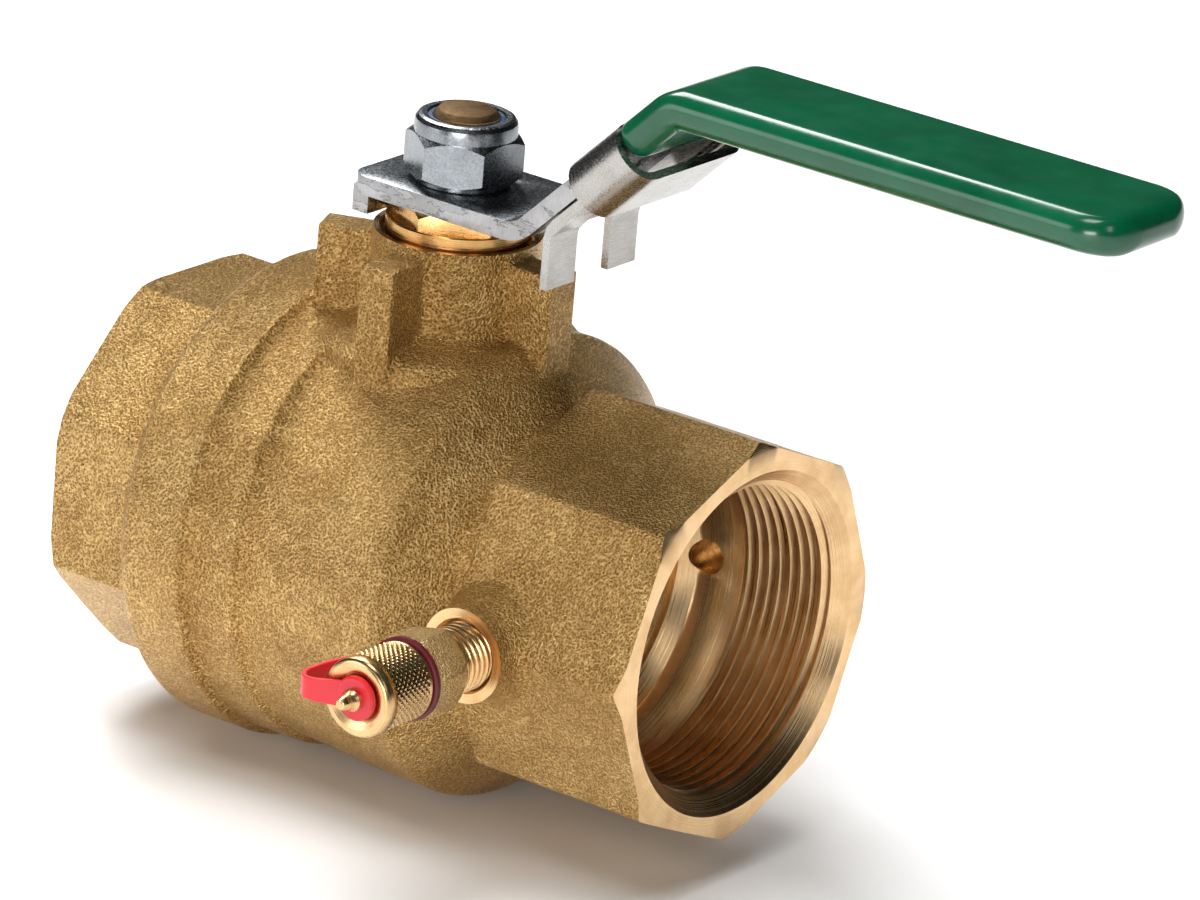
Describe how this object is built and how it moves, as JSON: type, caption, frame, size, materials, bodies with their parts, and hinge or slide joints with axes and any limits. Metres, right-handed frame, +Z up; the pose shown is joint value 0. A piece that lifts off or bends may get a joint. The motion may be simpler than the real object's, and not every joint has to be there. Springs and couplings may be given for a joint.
{
  "type": "ball valve",
  "caption": "Two-port brass ball valve with threaded ends, a quarter-turn lever in a vinyl sleeve, a sliding lever lock and a capped test point.",
  "frame": {"origin": "on the pipe axis where the inlet thread starts, 3.6 mm inside the inlet port's face", "axes": "+X along the pipe from the inlet to the outlet, +Z up the stem; the lever points along +X when the valve is open"},
  "size_m": [0.207, 0.126, 0.1459],
  "materials": {
    "cast_brass": "shot-blasted casting with machined faces",
    "machined_brass": "turned",
    "chromed_ball": "polished chrome plate",
    "ptfe": "smooth white",
    "seal_rubber": "moulded",
    "zinc_steel": "bright zinc plate",
    "stainless": "brushed",
    "green_vinyl": "dipped vinyl, glossy",
    "nylon": "nylon insert",
    "red_plastic": "soft moulded",
    "maroon_rubber": "moulded"
  },
  "bodies": {
    "housing": {"body": "cast_brass", "retainer": "cast_brass", "inlet_seat": "ptfe", "outlet_seat": "ptfe", "joint_seal": "seal_rubber", "thrust_washer": "ptfe", "stem_packing": "ptfe", "gland_nut": "machined_brass", "test_plug_body": "machined_brass", "test_plug_core": "seal_rubber", "strap_ring": "maroon_rubber", "blanking_plug": "machined_brass"},
    "lever_group": {"stem": "machined_brass", "lever": "zinc_steel", "grip_sleeve": "green_vinyl", "lever_nut": "zinc_steel", "nut_insert": "nylon"},
    "ball": {"ball": "chromed_ball"},
    "slide": {"lock_slide": "stainless"},
    "cap_core": {"cap_gasket": "seal_rubber", "cap_pin": "machined_brass", "cap_strap": "red_plastic"},
    "cap": {"test_cap": "machined_brass"}
  },
  "joints": [
    {"name": "lever_turn", "type": "hinge", "parent": "housing", "child": "lever_group", "pos_m": [0.0574, 0, 0.0682], "axis": [0, 0, 1], "range_deg": [-90, 0]},
    {"name": "ball_turn", "type": "hinge", "parent": "housing", "child": "ball", "pos_m": [0.0574, 0, 0], "axis": [0, 0, 1], "range_deg": [-90, 0]},
    {"name": "lock_slide", "type": "slide", "parent": "lever_group", "child": "slide", "axis": [-0.7071, 0, -0.7071], "range_m": [0, 0.018]},
    {"name": "cap_lift", "type": "slide", "parent": "housing", "child": "cap_core", "axis": [0, -1, 0], "range_m": [0, 0.005]},
    {"name": "cap_turn", "type": "hinge", "parent": "cap_core", "child": "cap", "pos_m": [0.0974, -0.066, 0], "axis": [0, -1, 0], "range_deg": [0, 1860]}
  ],
  "couplings": [
    {"joint": "ball_turn", "follows": "lever_turn", "ratio": 1},
    {"joint": "cap_turn", "follows": "cap_lift", "rad_per_m": 6283.2}
  ]
}
